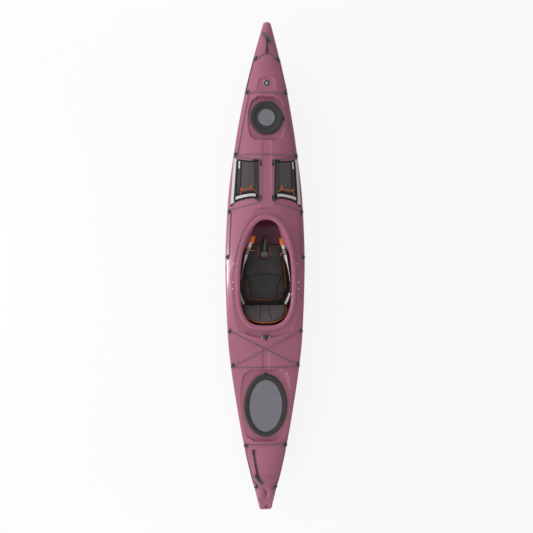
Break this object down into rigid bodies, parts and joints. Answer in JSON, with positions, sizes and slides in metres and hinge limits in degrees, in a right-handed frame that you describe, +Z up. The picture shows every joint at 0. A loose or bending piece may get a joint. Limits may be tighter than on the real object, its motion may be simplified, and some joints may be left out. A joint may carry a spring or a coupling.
{
  "type": "sea kayak",
  "caption": "Sit-inside touring kayak with raised coaming, adjustable seat, two lidded hatches, deck lines, mesh deck bags and carry toggles.",
  "frame": {"origin": "middle of the bounding box at the bottom, on the floor under the flat part of the keel", "axes": "+Y to the bow, +X to starboard, +Z up"},
  "size_m": [0.645, 3.81, 0.4155],
  "materials": {
    "hull_plastic": "glossy rotomoulded polyethylene",
    "grey_foam": "closed-cell foam",
    "black_nylon": "moulded nylon",
    "hatch_rubber": "matt rubber",
    "hatch_panel_plastic": "satin",
    "deck_cord": "braided cord",
    "seat_fabric": "woven cover over foam",
    "seat_back_fabric": "woven cover over foam",
    "seat_shell_plastic": "moulded polyethylene",
    "light_webbing": "woven webbing",
    "black_webbing": "woven webbing",
    "bag_mesh": "open mesh with light binding",
    "toggle_plastic": "satin",
    "toggle_cord": "braided cord"
  },
  "bodies": {
    "hull": {"hull": "hull_plastic", "deck": "hull_plastic", "coaming": "hull_plastic", "bow_bulkhead": "grey_foam", "stern_bulkhead": "grey_foam", "bow_hatch_rim": "black_nylon", "stern_hatch_rim": "black_nylon", "seat_pan": "seat_shell_plastic", "seat_cushion": "seat_fabric", "leg_lift_strap": "black_webbing", "leg_lift_buckle": "hatch_panel_plastic", "side_strap_left": "light_webbing", "strap_buckle_left": "black_nylon", "foot_rail_left": "black_nylon", "deck_bag_left": "bag_mesh", "aft_side_line_left": "deck_cord", "pad_eye_bow_tip_left": "black_nylon", "pad_eye_bow_left": "black_nylon", "pad_eye_bag_left": "black_nylon", "pad_eye_cockpit_fore_left": "black_nylon", "pad_eye_cockpit_mid_left": "black_nylon", "pad_eye_cockpit_aft_left": "black_nylon", "pad_eye_aft_left": "black_nylon", "pad_eye_stern_left": "black_nylon", "pad_eye_stern_tip_left": "black_nylon", "side_strap_right": "light_webbing", "strap_buckle_right": "black_nylon", "foot_rail_right": "black_nylon", "deck_bag_right": "bag_mesh", "aft_side_line_right": "deck_cord", "pad_eye_bow_tip_right": "black_nylon", "pad_eye_bow_right": "black_nylon", "pad_eye_bag_right": "black_nylon", "pad_eye_cockpit_fore_right": "black_nylon", "pad_eye_cockpit_mid_right": "black_nylon", "pad_eye_cockpit_aft_right": "black_nylon", "pad_eye_aft_right": "black_nylon", "pad_eye_stern_right": "black_nylon", "pad_eye_stern_tip_right": "black_nylon", "bow_line": "deck_cord", "bow_cross_line": "deck_cord", "fore_deck_line": "deck_cord", "crossed_shock_cord": "deck_cord", "stern_cross_line": "deck_cord", "bow_toggle_eye": "black_nylon", "stern_toggle_eye": "black_nylon", "rear_deck_hook": "black_nylon"},
    "bow_hatch_lid": {"bow_hatch_cover": "hatch_rubber", "bow_hatch_panel": "hatch_panel_plastic"},
    "stern_hatch_lid": {"stern_hatch_cover": "hatch_rubber", "stern_hatch_panel": "hatch_panel_plastic"},
    "seat_back": {"seat_back_frame": "seat_shell_plastic", "seat_back_cushion": "seat_back_fabric"},
    "pedal_left": {"foot_pedal_left": "black_nylon"},
    "pedal_right": {"foot_pedal_right": "black_nylon"},
    "bow_carry_toggle": {"bow_toggle": "toggle_plastic", "bow_toggle_cord": "toggle_cord"},
    "stern_carry_toggle": {"stern_toggle": "toggle_plastic", "stern_toggle_cord": "toggle_cord"},
    "plug": {"drain_plug": "black_nylon"}
  },
  "joints": [
    {"name": "bow_hatch_lift", "type": "slide", "parent": "hull", "child": "bow_hatch_lid", "axis": [0, 0, 1], "range_m": [0, 0.15]},
    {"name": "stern_hatch_lift", "type": "slide", "parent": "hull", "child": "stern_hatch_lid", "axis": [0, 0, 1], "range_m": [0, 0.15]},
    {"name": "seat_back_fold", "type": "hinge", "parent": "hull", "child": "seat_back", "pos_m": [0, -0.285, 0.128], "axis": [1, 0, 0], "range_deg": [-70, 0], "deforming": ["side_strap_left", "side_strap_right"]},
    {"name": "pedal_slide_left", "type": "slide", "parent": "hull", "child": "pedal_left", "axis": [0.0807, 0.9967, 0], "range_m": [-0.14, 0.14]},
    {"name": "pedal_slide_right", "type": "slide", "parent": "hull", "child": "pedal_right", "axis": [-0.0807, 0.9967, 0], "range_m": [-0.14, 0.14]},
    {"name": "bow_toggle_swing", "type": "hinge", "parent": "hull", "child": "bow_carry_toggle", "pos_m": [0, 1.68199, 0.39423], "axis": [1, 0, 0], "range_deg": [0, 95]},
    {"name": "stern_toggle_swing", "type": "hinge", "parent": "hull", "child": "stern_carry_toggle", "pos_m": [-0.09831, -1.44843, 0.2862], "axis": [0.9738, 0, 0.2273], "range_deg": [-95, 0]},
    {"name": "plug_lift", "type": "slide", "parent": "hull", "child": "plug", "axis": [0, 0, 1], "range_m": [0, 0.03]}
  ]
}
